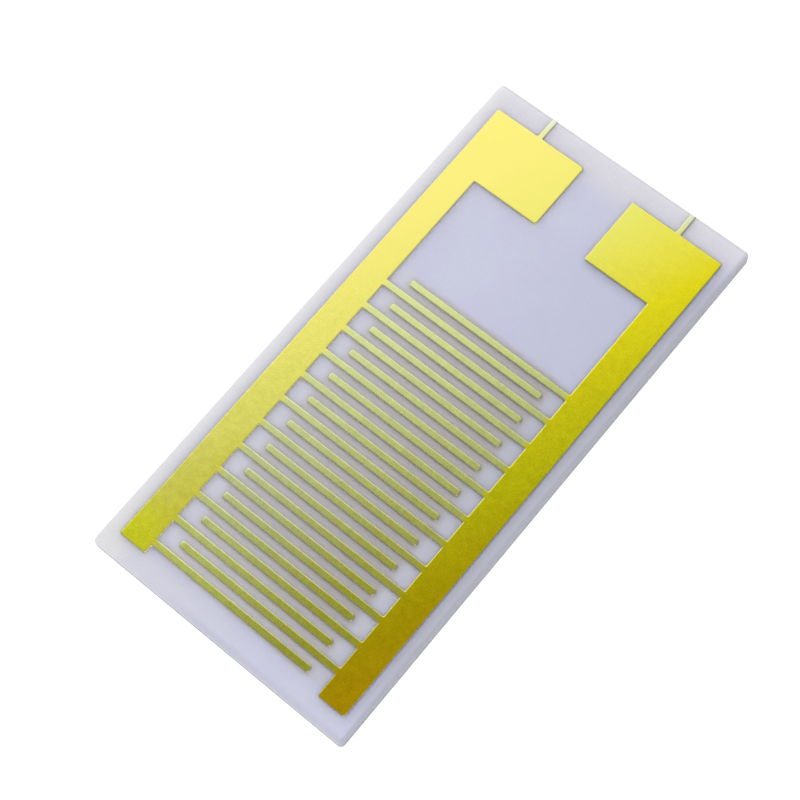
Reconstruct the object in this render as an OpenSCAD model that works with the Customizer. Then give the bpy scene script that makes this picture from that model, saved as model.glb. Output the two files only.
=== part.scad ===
// Interdigital electrode sensor chip.
// A ceramic plate carries two gold-plated comb electrodes. Their fingers lie between each other,
// and each comb ends in a rectangular contact pad at the head of the plate.
// The plate lies in the XY plane with its underside at Z = 0. The pads are at the +Y end.

/* [Ceramic plate] */
// Width of the plate across the two bus bars
plate_w = 10; // [9:0.5:16]
// Length of the plate from its foot edge to its head edge
plate_l = 20; // [17:0.5:32]
// Thickness of the bare ceramic
plate_t = 0.38; // [0.25:0.01:1]
// Radius of the four laser-cut corners, seen from above
corner_r = 0.17; // [0.1:0.01:1.2]

/* [Metal layer] */
// Height of the plated metal above the ceramic
metal_t = 0.05; // [0.02:0.005:0.1]
// How far an etched flank leans in between its foot and its top edge
flank = 0.015; // [0.01:0.005:0.06]

/* [Bus bars and contact pads] */
// Bare ceramic between the plate's side and the bus bar
side_margin = 0.5; // [0.2:0.05:1]
// Width of each bus bar
bus_w = 1; // [0.6:0.1:1.4]
// Bare ceramic between the foot edge and the end of each bus bar
foot_margin = 0.73; // [0.3:0.01:1.5]
// Bare ceramic between the head edge and the contact pads
head_margin = 0.82; // [0.3:0.01:1.5]
// Width of a contact pad, which reaches in from the outer side of its bus bar
pad_w = 3.5; // [2:0.1:3.9]
// Length of a contact pad along the plate
pad_l = 2.5; // [1:0.1:4]
// Width of the plating tie that runs from each pad out to the head edge
tie_w = 0.16; // [0.1:0.01:0.6]
// How far the tie stands off the middle of its pad, towards the side of the plate
tie_shift = 0.04; // [0:0.01:0.5]

/* [Comb fingers] */
// Number of fingers on each comb
fingers_per_comb = 12; // [3:1:15]
// Distance from one finger to the next finger, which belongs to the other comb
pitch = 0.5; // [0.4:0.01:0.6]
// Width of a finger at half its height
finger_w = 0.22; // [0.1:0.01:0.32]
// Distance from the end of the bus bars to the middle of the lowest finger
first_finger = 0.43; // [0.25:0.01:1]
// Bare ceramic between a finger's free end and the other comb's bus bar
tip_gap = 0.7; // [0.3:0.05:1.5]

/* [Hidden] */
$fn = 96;

ceramic_white = [0.86, 0.86, 0.89];
pad_gold = [0.9, 0.79, 0.22];

// Outer and inner side of the left bus bar, and the inner side of the left pad
bus_out_x = -plate_w / 2 + side_margin;
bus_in_x = bus_out_x + bus_w;
pad_in_x = bus_out_x + pad_w;
// The left finger tips stop short of the right bus bar
tip_x = -bus_in_x - tip_gap;
// Ends of the bus bars and pads along the plate
foot_y = -plate_l / 2 + foot_margin;
pad_top_y = plate_l / 2 - head_margin;
pad_foot_y = pad_top_y - pad_l;
// A profile is swept this far past what it has to cover
sweep_spare = 1;

// Ceramic plate, cut out with round corners
module ceramic_plate() {
    color(ceramic_white)
    linear_extrude(plate_t)
    union() {
        square([plate_w - 2 * corner_r, plate_l], center = true);
        square([plate_w, plate_l - 2 * corner_r], center = true);
        for (x = [-1, 1], y = [-1, 1])
            translate([x * (plate_w / 2 - corner_r), y * (plate_l / 2 - corner_r)])
            circle(corner_r);
    }
}

// Section through etched metal from a to b: wider at the foot than at the top
module etched_section(a, b) {
    polygon([
        [a - flank / 2, 0],
        [b + flank / 2, 0],
        [b - flank / 2, metal_t],
        [a + flank / 2, metal_t]
    ]);
}

// Bar along Y with two sloping sides, its ends cut square
module square_ended_trace(x0, x1, y0, y1) {
    translate([0, y1, 0])
    rotate([90, 0, 0])
    linear_extrude(y1 - y0)
    etched_section(x0, x1);
}

// Rectangle of metal whose four sides all slope
module trace(x0, x1, y0, y1) {
    intersection() {
        square_ended_trace(x0, x1, y0 - sweep_spare, y1 + sweep_spare);
        translate([x0 - sweep_spare, 0, 0])
        rotate([90, 0, 90])
        linear_extrude(x1 - x0 + 2 * sweep_spare)
        etched_section(y0, y1);
    }
}

// Middle line of a finger, counted from the foot of the plate
function finger_y(row) = foot_y + first_finger + row * pitch;

// One comb as it lies on the left: bus bar, contact pad, plating tie and every second finger
module comb(first_row) {
    bus_mid_x = (bus_out_x + bus_in_x) / 2;
    tie_mid_x = (bus_out_x + pad_in_x) / 2 - tie_shift;
    last_row = first_row + 2 * (fingers_per_comb - 1);
    translate([0, 0, plate_t])
    union() {
        trace(bus_out_x, bus_in_x, foot_y, pad_top_y);
        trace(bus_out_x, pad_in_x, pad_foot_y, pad_top_y);
        square_ended_trace(tie_mid_x - tie_w / 2, tie_mid_x + tie_w / 2, pad_foot_y + pad_l / 2, plate_l / 2);
        for (row = [first_row : 2 : last_row])
            trace(bus_mid_x, tip_x, finger_y(row) - finger_w / 2, finger_y(row) + finger_w / 2);
    }
}

module left_comb() {
    color(pad_gold)
    comb(first_row = 0);
}

module right_comb() {
    color(pad_gold)
    mirror([1, 0, 0])
    comb(first_row = 1);
}

ceramic_plate();
left_comb();
right_comb();
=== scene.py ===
import math

import bmesh
import bpy
from mathutils import Matrix, Vector, noise


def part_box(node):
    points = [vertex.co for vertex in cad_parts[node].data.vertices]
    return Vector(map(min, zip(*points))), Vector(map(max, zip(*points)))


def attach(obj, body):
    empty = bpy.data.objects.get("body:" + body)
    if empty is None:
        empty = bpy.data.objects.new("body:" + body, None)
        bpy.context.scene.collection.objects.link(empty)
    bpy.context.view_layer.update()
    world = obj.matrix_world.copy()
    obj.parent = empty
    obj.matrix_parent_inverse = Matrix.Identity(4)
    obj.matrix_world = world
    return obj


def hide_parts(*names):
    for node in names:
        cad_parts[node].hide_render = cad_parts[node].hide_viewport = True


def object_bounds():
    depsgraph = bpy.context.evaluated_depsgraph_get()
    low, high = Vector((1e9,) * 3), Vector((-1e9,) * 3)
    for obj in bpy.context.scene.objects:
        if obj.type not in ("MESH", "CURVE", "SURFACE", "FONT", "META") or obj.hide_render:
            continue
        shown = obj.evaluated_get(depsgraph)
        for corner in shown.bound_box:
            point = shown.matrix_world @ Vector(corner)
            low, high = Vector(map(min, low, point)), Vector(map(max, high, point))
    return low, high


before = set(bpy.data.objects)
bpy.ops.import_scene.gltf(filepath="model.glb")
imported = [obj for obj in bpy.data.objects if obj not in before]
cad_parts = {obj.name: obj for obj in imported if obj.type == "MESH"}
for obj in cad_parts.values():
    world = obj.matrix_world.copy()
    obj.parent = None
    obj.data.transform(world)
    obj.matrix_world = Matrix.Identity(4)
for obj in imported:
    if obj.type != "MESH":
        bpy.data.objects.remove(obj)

MM = 0.001
cad_low, cad_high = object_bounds()

# Camera, as the photograph was taken
SENSOR_WIDTH = 36.0  # mm
FOCAL_LENGTH = 88.98  # mm
CAMERA_TURN = 50.0  # degrees round the chip, from its foot towards its right side
CAMERA_RISE = 69.2  # degrees above the horizon
CAMERA_ROLL = -10.9
CAMERA_DISTANCE = 61.37 * MM
CAMERA_AIM = Vector((-0.542 * MM, -0.62 * MM, cad_high.z))
CAMERA_SIGHT = (1 * MM, 10.0)  # the nearest and the farthest that it shows

# Light, as strengths: 1 shows a colour about as it is written
WORLD_LIGHT = 0.48
FLOOR_GLOW = 0.66  # what the floor adds to itself where it is seen
FLOOR_REACH = 3.0  # from the floor's middle to each side
FLOOR_GAP = 0.001 * MM  # between the floor and the chip

# Where things are for the materials, in millimetres from the chip's middle and its underside
HALF_WIDTH = cad_high.x / MM
HALF_LENGTH = cad_high.y / MM
CERAMIC_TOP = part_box("ceramic_plate")[1].z / MM
METAL_TOP = cad_high.z / MM
BUS_WIDTH = 1.0
BUS_OUT = HALF_WIDTH - 0.5
BUS_IN = BUS_OUT - BUS_WIDTH
BUS_FOOT = 0.73 - HALF_LENGTH
PAD_WIDTH = 3.5
PAD_LENGTH = 2.5
PAD_IN = BUS_OUT - PAD_WIDTH
PAD_HEAD = HALF_LENGTH - 0.82
PAD_FOOT = PAD_HEAD - PAD_LENGTH
FINGERS = 24  # on both combs together
PITCH = 0.5  # from one finger to the next
FIRST_FINGER = BUS_FOOT + 0.43  # middle of the lowest finger
LAST_FINGER = FIRST_FINGER + (FINGERS - 1) * PITCH  # middle of the topmost finger
FINGER_ROOT = BUS_IN - 0.1  # just off the bus bar
FINGER_TIP = BUS_IN - 0.7
COMB_FOOT = FIRST_FINGER - 0.21
COMB_HEAD = LAST_FINGER + 0.26

# Ceramic plate
PLATE_CORNER = 0.17 * MM  # radius of its four laser-cut corners
PLATE_EDGE = 0.015 * MM  # radius along its upper and lower edges
PLATE_EDGE_STEPS = 3
PLATE_SPACING = 0.014 * MM  # between the points round the plate
LASER_STEP = 0.07 * MM  # from one laser pulse's mark on the wall to the next
LASER_DEPTH = 0.0025 * MM
SNAPPED_LEFT = 0.02 * MM  # rough edges, where the plate was snapped off its sheet
SNAPPED_HEAD = 0.03 * MM

# Printed and plated metal
METAL_SINK = 0.003 * MM  # how far the foot is sunk in the plate, so that no light gets under it
METAL_GROWTH = 0.013 * MM  # how far the plating grows past the printed edge
PRINT_SHIFT = 0.005 * MM  # how far the print sits off to the right and to the head
LONG_SIDE = 5 * MM  # only the fingers have a side towards the head that is longer than this
FINGER_TRIM = 0.018 * MM  # how much less a finger has grown on that side
LIP_SUPPORT = 0.002 * MM  # flat strip of the upright side just below its lip
LIP_SLOPE = 80.0  # degrees, where the tight round starts at the top of the upright side
LIP_ROUND = 0.006 * MM
LIP_STEPS = 3
CROWN_SLOPE = 30.0  # degrees, where the wide round starts that leads to the flat top
CROWN_ROUND = 0.075 * MM
CROWN_STEPS = 6
TIP_ROUND = (0.1 * MM, 0.07 * MM)  # outer corners, at the foot and at the top
NOOK_ROUND = (0.012 * MM, 0.045 * MM)  # inner corners, at the foot and at the top
CUT_ROUND = 0.004 * MM  # corners where a plating tie was cut through with the plate
METAL_SPACING = 0.07 * MM  # between the points round the metal
EDGE_WANDER = 0.004 * MM  # how far the metal's edge wanders to each side
WANDER_LENGTH = 0.2 * MM  # how long one such wander is

# Both kinds of piece
SUPPORT = 0.01 * MM  # flat strip inside the round edge
MOST_ROUND = 0.45  # the largest round there can be, as a share of the shorter side beside it
CORNER_STEPS = 8
WELD = 0.0001 * MM  # points closer than this are one
NEAR = 10 * WELD
DOWNWARD = -0.99  # the Z of a normal that points down
BEND = 0.01  # the sine of the smallest turn that makes a corner


class Plug:
    """A node's output. Sums on it add Math nodes to the same tree."""

    def __init__(self, recipe, socket):
        self.recipe = recipe
        self.socket = socket

    def math(self, operation, first, second):
        return self.recipe.node("ShaderNodeMath", {"operation": operation}, {0: first, 1: second})

    def __add__(self, other):
        return self.math("ADD", self, other)

    def __radd__(self, other):
        return self.math("ADD", other, self)

    def __sub__(self, other):
        return self.math("SUBTRACT", self, other)

    def __rsub__(self, other):
        return self.math("SUBTRACT", other, self)

    def __mul__(self, other):
        return self.math("MULTIPLY", self, other)

    def __rmul__(self, other):
        return self.math("MULTIPLY", other, self)

    def __abs__(self):
        return self.math("ABSOLUTE", self, 0.0)

    def most(self, other):
        return self.math("MAXIMUM", self, other)


class Recipe:
    """The node tree of one material or of the world."""

    def __init__(self, tree):
        self.tree = tree
        tree.nodes.clear()

    def node(self, kind, settings=None, inputs=None, output=0):
        made = self.tree.nodes.new(kind)
        for name, value in (settings or {}).items():
            if name == "stops":
                set_stops(made.color_ramp, value)
            else:
                setattr(made, name, value)
        for name, value in (inputs or {}).items():
            if isinstance(value, Plug):
                self.tree.links.new(value.socket, made.inputs[name])
            else:
                made.inputs[name].default_value = value
        return Plug(self, made.outputs[output]) if made.outputs else None

    def place(self):
        return self.node("ShaderNodeTexCoord", output="Object")

    def across(self, axis):
        """The place along one axis, 0 for X, 1 for Y and 2 for Z, in millimetres."""
        return self.node("ShaderNodeSeparateXYZ", {}, {"Vector": self.place()}, axis) * (1 / MM)

    def grain(self, size, detail=2.0, roughness=0.5):
        """Noise whose patches are about as wide as size, in metres."""
        settings = {"noise_dimensions": "3D"}
        inputs = {"Vector": self.place(), "Scale": 1 / size, "Detail": detail, "Roughness": roughness}
        return self.node("ShaderNodeTexNoise", settings, inputs)

    def between(self, value, low, high, to_low=0.0, to_high=1.0, kind="SMOOTHSTEP"):
        """to_low where the value is low, to_high where it is high, and a smooth step between."""
        settings = {"interpolation_type": kind}
        inputs = {"Value": value, 1: low, 2: high, 3: to_low, 4: to_high}
        return self.node("ShaderNodeMapRange", settings, inputs)

    def blend(self, factor, first, second):
        settings = {"data_type": "RGBA"}
        return self.node("ShaderNodeMix", settings, {0: factor, 6: first, 7: second}, 2)

    def bump(self, height, distance):
        inputs = {"Strength": 1.0, "Distance": distance, "Height": height}
        return self.node("ShaderNodeBump", {}, inputs)

    def surface(self, inputs):
        """The material's one shader, joined to its output."""
        shader = self.node("ShaderNodeBsdfPrincipled", {}, inputs)
        self.node("ShaderNodeOutputMaterial", {}, {"Surface": shader})

    def comb_zone(self, half_width, spread=0.15):
        """1 among the fingers, 0 on the bus bars, the pads and the open ceramic."""
        beside = self.between(abs(self.across(0)), half_width - spread, half_width + spread)
        above = self.between(self.across(1), COMB_HEAD - spread, COMB_HEAD + spread)
        below = self.between(self.across(1), COMB_FOOT - 0.09, COMB_FOOT + 0.09)
        return (1 - beside) * (1 - above) * below


def set_stops(ramp, stops):
    while len(ramp.elements) > 1:
        ramp.elements.remove(ramp.elements[-1])
    for number, (position, colour) in enumerate(stops):
        stop = ramp.elements[0] if number == 0 else ramp.elements.new(position)
        stop.position = position
        stop.color = colour


def new_material(name):
    made = bpy.data.materials.new(name)
    made.use_nodes = True
    return made, Recipe(made.node_tree)


def open_ceramic(mix):
    """The plate's tone: lavender with random clouds, and painted light and shade: paler at its head, its foot
    and its left, and darker at its right.
    """
    x, y = mix.across(0), mix.across(1)
    clouds = mix.between(mix.grain(1.5 * MM, 3.0), 0.35, 0.65)
    tone = mix.blend(clouds, (0.70, 0.70, 0.99, 1), (0.715, 0.735, 0.98, 1))
    # Painted shade: darker towards the right, but not near the head.
    right_side_painted_shade = mix.between(x, -1.6, 2.6) * mix.between(y, 8.6, 6.4)
    tone = mix.blend(right_side_painted_shade, tone, (0.655, 0.672, 0.87, 1))
    # Painted light: paler along the foot, most at its left.
    foot_painted_light_tone = mix.blend(mix.between(x, -4.0, 2.0), (0.80, 0.80, 1.0, 1), (0.73, 0.74, 1.0, 1))
    foot = mix.between(y, -8.9, -9.5)
    tone = mix.blend(foot, tone, foot_painted_light_tone)
    # Painted light: paler towards the head, along the left margin and at the left of the foot.
    head = mix.between(y, 8.4, 9.6)
    tone = mix.blend(head, tone, (0.85, 0.84, 1.0, 1))
    left_margin_painted_light = mix.between(x, -4.3, -4.8, 0.0, 0.9)
    tone = mix.blend(left_margin_painted_light, tone, (0.90, 0.89, 0.95, 1))
    left_foot = mix.between(x, -3.6, -4.6) * mix.between(y, -6.0, -9.5)
    tone = mix.blend(left_foot, tone, (0.98, 0.97, 1.0, 1))
    # Painted shade: a darker strip along the right margin, away from both ends.
    off_ends = mix.between(y, 9.8, 8.0) * mix.between(y, -10.5, -6.5)
    right_margin_painted_shade = mix.between(x, 4.4, 4.7, 0.0, 0.9) * off_ends
    return mix.blend(right_margin_painted_shade, tone, (0.55, 0.555, 0.64, 1))


def comb_ceramic_painted_shade(mix):
    """The tone in the gaps between the fingers and in the cells between their tips and the bus bars: painted
    shade and painted reflection from the gold, greyer than the open ceramic and darker to the right.
    """
    x, y = mix.across(0), mix.across(1)
    # Painted shade: the gaps darken away from the foot, and more on the right.
    left_gap_painted_shade = mix.blend(mix.between(y, -8.6, -6.2), (0.80, 0.77, 0.80, 1), (0.69, 0.67, 0.68, 1))
    right_rise = mix.between(y, -9.2, -6.9, kind="LINEAR")
    right_gap_painted_shade = mix.blend(right_rise, (0.70, 0.68, 0.68, 1), (0.565, 0.53, 0.52, 1))
    gap = mix.blend(mix.between(x, -2.8, 1.6, kind="LINEAR"), left_gap_painted_shade, right_gap_painted_shade)
    right_cell_painted_shade = mix.blend(mix.between(y, -7.0, 1.0), (0.645, 0.655, 0.75, 1), (0.595, 0.605, 0.70, 1))
    cell = mix.blend(mix.between(x, -3.0, 3.0), (0.75, 0.76, 0.90, 1), right_cell_painted_shade)
    past_tips = mix.between(abs(x), FINGER_TIP - 0.05, FINGER_TIP + 0.3)
    return mix.blend(past_tips, gap, cell)


def beside_metal(mix):
    """How much light from the metal's walls falls on the ceramic right beside them."""
    x, y = mix.across(0), mix.across(1)
    past_finger = mix.node("ShaderNodeMath", {"operation": "WRAP"}, {0: y - FIRST_FINGER, 1: PITCH, 2: 0.0})
    finger_side = mix.between(past_finger, 0.2, 0.14)
    finger_side = finger_side * mix.comb_zone(FINGER_TIP - 0.1, 0.06)
    bus_side = mix.between(x, 0.12 - BUS_IN, 0.03 - BUS_IN) * mix.between(x, 0.1 - BUS_OUT, 0.3 - BUS_OUT)
    bus_side = bus_side * mix.between(y, BUS_FOOT - 0.13, BUS_FOOT + 0.07)
    pad_side = mix.between(x, 0.12 - PAD_IN, 0.03 - PAD_IN) * mix.between(x, -0.6 - PAD_IN, -0.4 - PAD_IN)
    pad_side = pad_side * mix.between(y, PAD_FOOT - 0.18, PAD_FOOT + 0.02)
    below_head = mix.between(y, PAD_HEAD - 0.03, PAD_HEAD - 0.23)
    inner_side = 0.9 * below_head * bus_side.most(pad_side)
    pad_head = mix.between(y, PAD_HEAD + 0.11, PAD_HEAD + 0.02)
    pad_head = pad_head * mix.between(y, PAD_HEAD - 0.18, PAD_HEAD - 0.08)
    pad_head = pad_head * mix.between(abs(x), PAD_IN - 0.1, PAD_IN + 0.1)
    pad_head = pad_head * mix.between(abs(x), BUS_OUT, BUS_OUT - 0.2)
    return (0.25 * finger_side).most(inner_side).most(0.4 * pad_head)


def below_right_pad(mix):
    """How much the right pad shades the ceramic along its foot."""
    x, y = mix.across(0), mix.across(1)
    strip = mix.between(y, PAD_FOOT - 0.48, PAD_FOOT - 0.13)
    strip = strip * mix.between(y, PAD_FOOT + 0.52, PAD_FOOT + 0.12)
    strip = strip * mix.between(x, PAD_IN - 0.1, PAD_IN + 0.2) * mix.between(x, 4.2, 3.8)
    return 0.25 * strip


def plate_edges(mix, tone):
    """The tone with a fine dark line inside the head edge, a painted highlight along the head edge, painted
    shade in strips along the foot and the right edge, and painted shade that makes its walls darker.
    """
    x, y, z = mix.across(0), mix.across(1), mix.across(2)
    head_line = mix.between(y, HALF_LENGTH - 0.065, HALF_LENGTH - 0.045)
    head_line = head_line * mix.between(y, HALF_LENGTH, HALF_LENGTH - 0.02) * 0.45
    tone = mix.blend(head_line, tone, (0.42, 0.42, 0.48, 1))
    # Painted highlight along the round head edge.
    head_rim_painted_highlight = mix.between(y, HALF_LENGTH - 0.01, HALF_LENGTH + 0.01, 0.0, 0.35)
    tone = mix.blend(head_rim_painted_highlight, tone, (1.0, 1.0, 1.0, 1))
    # Painted shade: a darker strip along the foot, fading out towards the left.
    foot_strip_painted_shade = mix.between(y, 0.35 - HALF_LENGTH, 0.05 - HALF_LENGTH, 0.0, 0.7) * mix.between(x, -4.5, 0.0)
    tone = mix.blend(foot_strip_painted_shade, tone, (0.55, 0.55, 0.64, 1))
    # Painted shade: a darker strip and a darker line along the right edge.
    right_strip_painted_shade = mix.between(x, HALF_WIDTH - 0.22, HALF_WIDTH - 0.03, 0.0, 0.75)
    tone = mix.blend(right_strip_painted_shade, tone, (0.38, 0.38, 0.44, 1))
    right_rim_painted_shade = mix.between(x, HALF_WIDTH - 0.035, HALF_WIDTH - 0.015, 0.0, 0.5)
    tone = mix.blend(right_rim_painted_shade, tone, (0.28, 0.28, 0.33, 1))
    # Painted shade: darker walls.
    walls = mix.between(z, CERAMIC_TOP - 0.006, CERAMIC_TOP - 0.02, 0.0, 0.8)
    return mix.blend(walls, tone, (0.50, 0.51, 0.58, 1))


def as_fired_alumina():
    """Matt, faintly translucent white ceramic with a lavender tone, and painted light and shade over its top
    and walls.
    """
    made, mix = new_material("as_fired_alumina")
    specks = mix.between(mix.grain(0.04 * MM, 2.0), 0.25, 0.75)
    tone = mix.blend(mix.comb_zone(FINGER_ROOT + 0.3), open_ceramic(mix), comb_ceramic_painted_shade(mix))
    tone = mix.blend(beside_metal(mix), tone, (0.97, 0.96, 0.98, 1))
    tone = mix.blend(below_right_pad(mix), tone, (0.44, 0.445, 0.58, 1))
    tone = plate_edges(mix, tone)
    mix.surface({
        "Base Color": mix.blend(specks * 0.15, tone, (0.50, 0.50, 0.62, 1)),
        "Roughness": mix.between(specks, 0.0, 1.0, 0.48, 0.6),
        "Normal": mix.bump(mix.grain(0.022 * MM, 3.0, 0.6) + 0.8 * mix.grain(0.12 * MM, 1.0), 0.0012 * MM),
        "IOR": 1.7,
        "Specular IOR Level": 0.35,
        "Subsurface Weight": 1.0,
        "Subsurface Radius": (0.70, 0.74, 0.65),
        "Subsurface Scale": 1 * MM,
    })
    return made


def wide_gold_painted_light_and_shade(mix):
    """The tone of the bus bars and pads, with painted light and shade: deep and dark at the right bus bar's
    foot, paler and brighter towards the left pad, in uneven steps.
    """
    painted_light_sweep = mix.across(1) - 2.6 * mix.across(0) + 1.5 * mix.grain(1.2 * MM, 3.0)
    return mix.node("ShaderNodeValToRGB", {"stops": [
        (0.02, (0.63, 0.41, 0.003, 1)),
        (0.10, (0.57, 0.43, 0.003, 1)),
        (0.25, (0.61, 0.585, 0.007, 1)),
        (0.45, (0.685, 0.615, 0.012, 1)),
        (0.66, (0.645, 0.63, 0.12, 1)),
        (0.90, (0.69, 0.62, 0.155, 1)),
    ]}, {"Fac": mix.between(painted_light_sweep, -20.0, 20.0, kind="LINEAR")})


def finger_gold_painted_shade(mix):
    """The tone of the fingers, with painted shade that makes it deeper to the right."""
    x, y = mix.across(0), mix.across(1)
    left_rise = mix.between(y, -8.9, -6.0, kind="LINEAR")
    left_tone = mix.blend(left_rise, (0.61, 0.66, 0.16, 1), (0.55, 0.592, 0.26, 1))
    right_rise = mix.between(y, -6.6, 1.0, kind="LINEAR")
    right_tone = mix.blend(right_rise, (0.47, 0.47, 0.048, 1), (0.54, 0.585, 0.215, 1))
    return mix.blend(mix.between(x, -2.1, 2.1, kind="LINEAR"), left_tone, right_tone)


def painted_far_side_light_and_shade(mix):
    """Painted light and shade on the rims and sides that face the foot or the right: brighter on the left of
    the chip, darker on its right.
    """
    facing = mix.node("ShaderNodeTexCoord", output="Normal")
    to_right = mix.node("ShaderNodeSeparateXYZ", {}, {"Vector": facing}, 0)
    to_head = mix.node("ShaderNodeSeparateXYZ", {}, {"Vector": facing}, 1)
    far_side = mix.between(0.8 * to_right - 0.6 * to_head, 0.05, 0.3)
    gain = mix.between(mix.across(0), -3.5, 1.5, 0.35, -0.13, kind="LINEAR")
    return 1 + far_side * gain


def plated_gold():
    """Satin gold with the ceramic's grain showing through it, with painted light and shade: deep at one
    corner and pale at the other, and paler on its rims and walls.
    """
    made, mix = new_material("plated_gold")
    x, y, z = mix.across(0), mix.across(1), mix.across(2)
    colour = mix.blend(mix.comb_zone(FINGER_ROOT), wide_gold_painted_light_and_shade(mix), finger_gold_painted_shade(mix))
    left_foot = mix.between(y, -7.2, -9.0) * mix.between(x, -3.3, -3.8)
    colour = mix.blend(left_foot, colour, (0.70, 0.71, 0.025, 1))
    tie_rise = mix.between(y, PAD_HEAD + 0.12, HALF_LENGTH)
    tie_tone = mix.blend(tie_rise, (0.595, 0.61, 0.26, 1), (0.585, 0.615, 0.46, 1))
    tie = mix.between(y, PAD_HEAD - 0.08, PAD_HEAD + 0.12)
    colour = mix.blend(tie, colour, tie_tone)
    # Painted highlight: paler on the round just below the flat top.
    rim_edge_painted_highlight = mix.between(z, METAL_TOP - 0.0003, METAL_TOP - 0.0025, 0.0, 0.6)
    colour = mix.blend(rim_edge_painted_highlight, colour, (0.54, 0.54, 0.35, 1))
    # Painted light: paler, brighter upright walls.
    walls = mix.between(z, METAL_TOP - 0.012, METAL_TOP - 0.02, 0.0, 0.8)
    colour = mix.blend(walls, colour, (0.86, 0.86, 0.80, 1))
    # The left pad is the smoothest
    unevenness = mix.between(y - x, -2.0, 9.0, 1.0, 0.1)
    mottle = 0.15 * mix.grain(0.6 * MM) + 0.3 * mix.grain(0.22 * MM) - 0.225
    # Random mottle, times painted light and shade on the rims and sides that face the foot or the right.
    shade = (1 + unevenness * mottle) * painted_far_side_light_and_shade(mix)
    grain = mix.grain(0.045 * MM, 3.0, 0.6)
    height = unevenness * (0.38 * grain + 1.2 * mix.grain(0.14 * MM, 2.0))
    mix.surface({
        "Base Color": mix.node("ShaderNodeVectorMath", {"operation": "SCALE"}, {0: colour, "Scale": shade}),
        "Metallic": 1.0,
        "Roughness": 0.28 + unevenness * mix.between(grain, 0.3, 0.7, -0.03, 0.03),
        "Normal": mix.bump(height, 0.0005 * MM),
    })
    return made


def new_object(name, data):
    made = bpy.data.objects.new(name, data)
    bpy.context.scene.collection.objects.link(made)
    return made


def foot_outline(node):
    """The corners of a CAD node's foot, in order and anticlockwise seen from above."""
    work = bmesh.new()
    work.from_mesh(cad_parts[node].data)
    bmesh.ops.remove_doubles(work, verts=work.verts, dist=WELD)
    foot = {face for face in work.faces if face.normal.z < DOWNWARD}
    joins = {}
    for edge in work.edges:
        if sum(face in foot for face in edge.link_faces) == 1:
            for here, there in (edge.verts, reversed(edge.verts)):
                joins.setdefault(here, []).append(there)
    start = next(iter(joins))
    walk = [start, joins[start][0]]
    while walk[-1] != start:
        first, second = joins[walk[-1]]
        walk.append(second if first == walk[-2] else first)
    loop = [vertex.co.xy.copy() for vertex in walk[:-1]]
    work.free()
    corners = [
        here for before, here, after in zip(loop[-1:] + loop[:-1], loop, loop[1:] + loop[:1])
        if abs((here - before).normalized().cross((after - here).normalized())) > BEND
    ]
    area = sum(a.cross(b) for a, b in zip(corners, corners[1:] + corners[:1]))
    return corners if area > 0 else corners[::-1]


def round_corner(before, here, after, lean, outer_round, inner_round, leans):
    """Points on the arc round the corner here, whose two sides are moved in by lean."""
    along, onward = (here - before).normalized(), (after - here).normalized()
    inward = Vector((-along.y, along.x))
    turn = 1 if along.cross(onward) > 0 else -1
    in_here, in_next = leans(before, here), leans(here, after)
    shorter = min((here - before).length, (after - here).length)
    radius = min(outer_round if turn > 0 else inner_round, MOST_ROUND * (shorter - 2 * lean))
    if not (in_here and in_next):
        radius = CUT_ROUND
    corner = here + inward * lean * in_here + Vector((-onward.y, onward.x)) * lean * in_next
    start = corner - along * radius
    centre = start + inward * radius * turn
    arc = []
    for step in range(CORNER_STEPS + 1):
        angle = math.pi / 2 * step / CORNER_STEPS
        arc.append(centre - inward * turn * radius * math.cos(angle) + along * radius * math.sin(angle))
    return arc


def rim(corners, lean, outer_round, inner_round, spacing, wander, leans=lambda a, b: True):
    """Points round an outline of right angles, moved in by lean, with round corners.

    Every call with the same corners and spacing gives as many points, so rims can be joined.
    """
    following = corners[1:] + corners[:1]
    arcs = [
        round_corner(before, here, after, lean, outer_round, inner_round, leans)
        for before, here, after in zip(corners[-1:] + corners[:-1], corners, following)
    ]
    points = []
    for arc, next_arc, here, after in zip(arcs, arcs[1:] + arcs[:1], corners, following):
        points += arc
        steps = max(1, round((after - here).length / spacing))
        outward = (after - here).normalized()
        outward = Vector((outward.y, -outward.x))
        for step in range(1, steps):
            share = step / steps
            fade = min(1.0, 4 * share, 4 * (1 - share))  # no wander next to a corner
            spot = here.lerp(after, share)
            points.append(arc[-1].lerp(next_arc[0], share) + outward * wander(spot) * fade)
    return points


def solid_from_rims(name, rims, material):
    """A closed mesh: walls between the rims, each a list of points in space, and a flat cap at both ends."""
    work = bmesh.new()
    rows = [[work.verts.new(point) for point in ring] for ring in rims]
    count = len(rows[0])
    for lower, upper in zip(rows, rows[1:]):
        for number in range(count):
            after = (number + 1) % count
            wall = work.faces.new((lower[number], lower[after], upper[after], upper[number]))
            wall.smooth = True
    work.faces.new(rows[0][::-1])
    work.faces.new(rows[-1])
    mesh = bpy.data.meshes.new(name)
    work.to_mesh(mesh)
    work.free()
    mesh.materials.append(material)
    return new_object(name, mesh)


def edge_profile(radius, steps):
    """(inset, drop) along a quarter round, from the wall to the face."""
    angles = [math.pi / 2 * step / steps for step in range(steps + 1)]
    return [(radius * (1 - math.cos(angle)), radius * (1 - math.sin(angle))) for angle in angles]


def laser_marks(spot):
    """How far the ceramic's wall stands out at a spot: less than zero in the notch of each laser pulse."""
    along = (spot.x + spot.y) / LASER_STEP
    unevenness = 0.7 + 0.3 * noise.noise(Vector((along, 0, 0)))
    return -LASER_DEPTH * abs(math.sin(math.pi * along)) * unevenness


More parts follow.
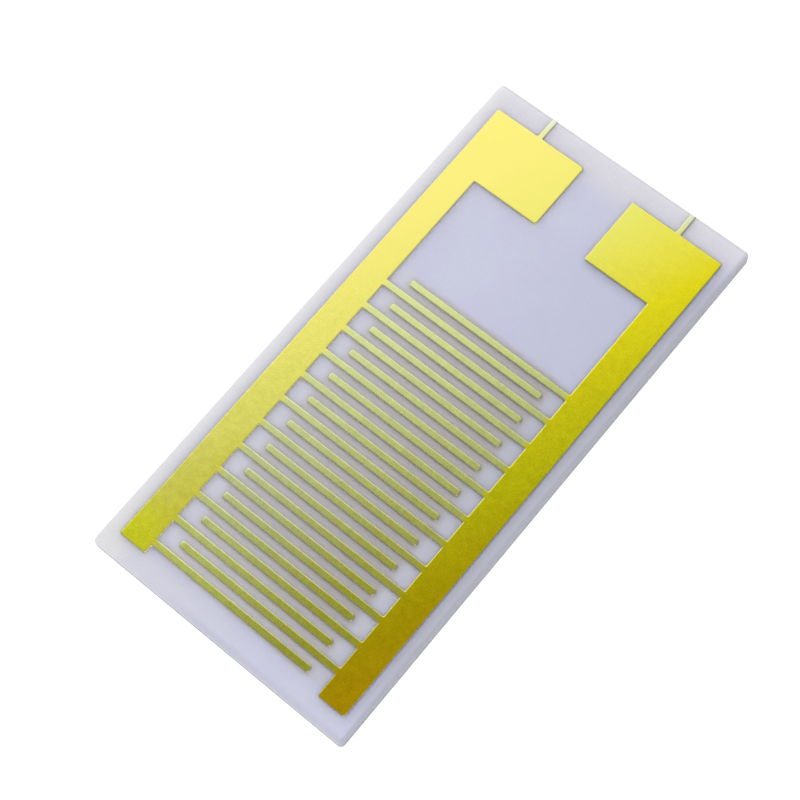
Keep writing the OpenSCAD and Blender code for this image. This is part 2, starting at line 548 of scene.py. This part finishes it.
def ceramic_plate(material):
    low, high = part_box("ceramic_plate")
    low.x -= SNAPPED_LEFT
    high.y += SNAPPED_HEAD
    corners = [Vector(spot) for spot in ((low.x, low.y), (high.x, low.y), (high.x, high.y), (low.x, high.y))]
    quarter = edge_profile(PLATE_EDGE, PLATE_EDGE_STEPS)
    levels = [(PLATE_EDGE + SUPPORT, low.z)]
    levels += [(inset, low.z + drop) for inset, drop in reversed(quarter)]
    levels += [(inset, high.z - drop) for inset, drop in quarter]
    levels += [(PLATE_EDGE + SUPPORT, high.z)]
    rims = []
    for inset, level in levels:
        ring = rim(corners, inset, PLATE_CORNER - inset, 0, PLATE_SPACING, laser_marks)
        rims.append([Vector((*spot, level)) for spot in ring])
    piece = solid_from_rims("ceramic_plate_fired", rims, material)
    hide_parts("ceramic_plate")
    return piece


def metal_edge(height):
    """(inset, rise) from the metal's foot, up its side, over its lip and its crown to the flat top."""
    lip, crown = math.radians(LIP_SLOPE), math.radians(CROWN_SLOPE)
    crown_foot = height - CROWN_ROUND * (1 - math.cos(crown))
    lip_foot = crown_foot - LIP_ROUND * (math.cos(crown) - math.cos(lip))
    profile = [(0.0, -METAL_SINK), (0.0, 0.0), (0.0, lip_foot - LIP_SUPPORT)]
    for step in range(LIP_STEPS + 1):
        angle = lip + (crown - lip) * step / LIP_STEPS
        inset = LIP_ROUND * (math.sin(lip) - math.sin(angle))
        profile.append((inset, lip_foot + LIP_ROUND * (math.cos(angle) - math.cos(lip))))
    lip_width = profile[-1][0]
    for step in range(1, CROWN_STEPS + 1):
        angle = crown * (1 - step / CROWN_STEPS)
        inset = lip_width + CROWN_ROUND * (math.sin(crown) - math.sin(angle))
        profile.append((inset, height - CROWN_ROUND * (1 - math.cos(angle))))
    profile.append((profile[-1][0] + SUPPORT, height))
    return profile


def printed_outline(node, head):
    """The corners of a comb's foot as it was printed. It was cut off at the head with the plate."""
    corners = [
        spot + Vector((PRINT_SHIFT, PRINT_SHIFT if spot.y < head - NEAR else 0.0))
        for spot in foot_outline(node)
    ]
    for a, b in zip(corners, corners[1:] + corners[:1]):
        if a.x - b.x > LONG_SIDE:
            a.y -= FINGER_TRIM
            b.y -= FINGER_TRIM
    return corners


def size_at(share, sizes):
    """A size that changes evenly from the one at the foot, share 0, to the one at the top, share 1."""
    foot, top = sizes
    return foot + (top - foot) * share


def comb_electrode(node, material):
    low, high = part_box(node)
    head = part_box("ceramic_plate")[1].y
    corners = printed_outline(node, head)
    height = high.z - low.z

    def leans(a, b):
        """False on the end where the plating tie was cut through with the plate."""
        return not (abs(a.y - head) < NEAR and abs(b.y - head) < NEAR)

    def wander(spot):
        if spot.y > head - WELD:
            return 0.0
        return EDGE_WANDER * noise.noise(Vector((*spot, 0)) / WANDER_LENGTH)

    rims = []
    for lean, rise in metal_edge(height):
        share = max(0.0, rise) / height
        outer, inner = size_at(share, TIP_ROUND), size_at(share, NOOK_ROUND)
        ring = rim(corners, lean - METAL_GROWTH, outer, inner, METAL_SPACING, wander, leans)
        rims.append([Vector((*spot, low.z + rise)) for spot in ring])
    # The cut end reaches down past the round edge of the plate
    for spot in rims[0]:
        if spot.y > head - WELD:
            spot.z = low.z - PLATE_EDGE
    piece = solid_from_rims(node + "_plated", rims, material)
    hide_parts(node)
    return piece


def direction(turn, rise):
    """Away from the chip. turn goes round it in degrees, from its foot towards its right side."""
    turn, rise = math.radians(turn), math.radians(rise)
    return Vector((math.sin(turn) * math.cos(rise), -math.cos(turn) * math.cos(rise), math.sin(rise)))


def camera():
    back = direction(CAMERA_TURN, CAMERA_RISE)
    made = new_object("camera", bpy.data.cameras.new("camera"))
    made.data.sensor_width = SENSOR_WIDTH
    made.data.lens = FOCAL_LENGTH
    made.data.clip_start, made.data.clip_end = CAMERA_SIGHT
    facing = (-back).to_track_quat("-Z", "Y").to_matrix()
    roll = Matrix.Rotation(math.radians(CAMERA_ROLL), 3, "Z")
    made.matrix_world = Matrix.Translation(CAMERA_AIM + back * CAMERA_DISTANCE) @ (facing @ roll).to_4x4()
    bpy.context.scene.camera = made


def softbox(name, turn, rise, distance, size, brightness):
    """A square lamp facing the chip."""
    away = direction(turn, rise)
    made = new_object(name, bpy.data.lights.new(name, "AREA"))
    made.data.shape = "SQUARE"
    made.data.size = size
    made.data.energy = brightness * math.pi * size * size
    made.location = away * distance
    made.rotation_euler = away.to_track_quat("Z", "Y").to_euler()
    made.visible_camera = False


def studio_light():
    world = bpy.data.worlds.new("studio")
    world.use_nodes = True
    bpy.context.scene.world = world
    mix = Recipe(world.node_tree)
    seen = mix.node("ShaderNodeLightPath", output="Is Camera Ray")
    strength = WORLD_LIGHT + (1 - WORLD_LIGHT) * seen
    fill = mix.node("ShaderNodeBackground", {}, {"Color": (1, 1, 1, 1), "Strength": strength})
    mix.node("ShaderNodeOutputWorld", {}, {"Surface": fill})
    softbox("key_softbox", turn=233.0, rise=37.4, distance=65.4 * MM, size=80 * MM, brightness=1.08)
    softbox("fill_softbox", turn=45.0, rise=45.0, distance=75 * MM, size=60 * MM, brightness=1.6)


def white_floor():
    """A matt floor that looks pure white, but lights the chip no more than grey paper would."""
    made, mix = new_material("white_floor")
    ray = mix.node("ShaderNodeLightPath", output="Is Camera Ray")
    gloss = mix.node("ShaderNodeLightPath", output="Is Glossy Ray")
    through = mix.node("ShaderNodeLightPath", output="Is Transmission Ray")
    seen = ray + gloss + through
    mix.surface({
        "Base Color": (0.75, 0.75, 0.75, 1),
        "Roughness": 0.9,
        "Emission Color": (1, 1, 1, 1),
        "Emission Strength": seen * FLOOR_GLOW,
    })
    mesh = bpy.data.meshes.new("floor")
    below = cad_low.z - FLOOR_GAP
    sides = ((-1, -1), (1, -1), (1, 1), (-1, 1))
    mesh.from_pydata([(x * FLOOR_REACH, y * FLOOR_REACH, below) for x, y in sides], [], [(0, 1, 2, 3)])
    mesh.materials.append(made)
    new_object("floor", mesh)


gold = plated_gold()
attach(ceramic_plate(as_fired_alumina()), "root")
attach(comb_electrode("left_comb", gold), "root")
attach(comb_electrode("right_comb", gold), "root")
camera()
studio_light()
white_floor()
bpy.context.scene.view_settings.view_transform = "Standard"
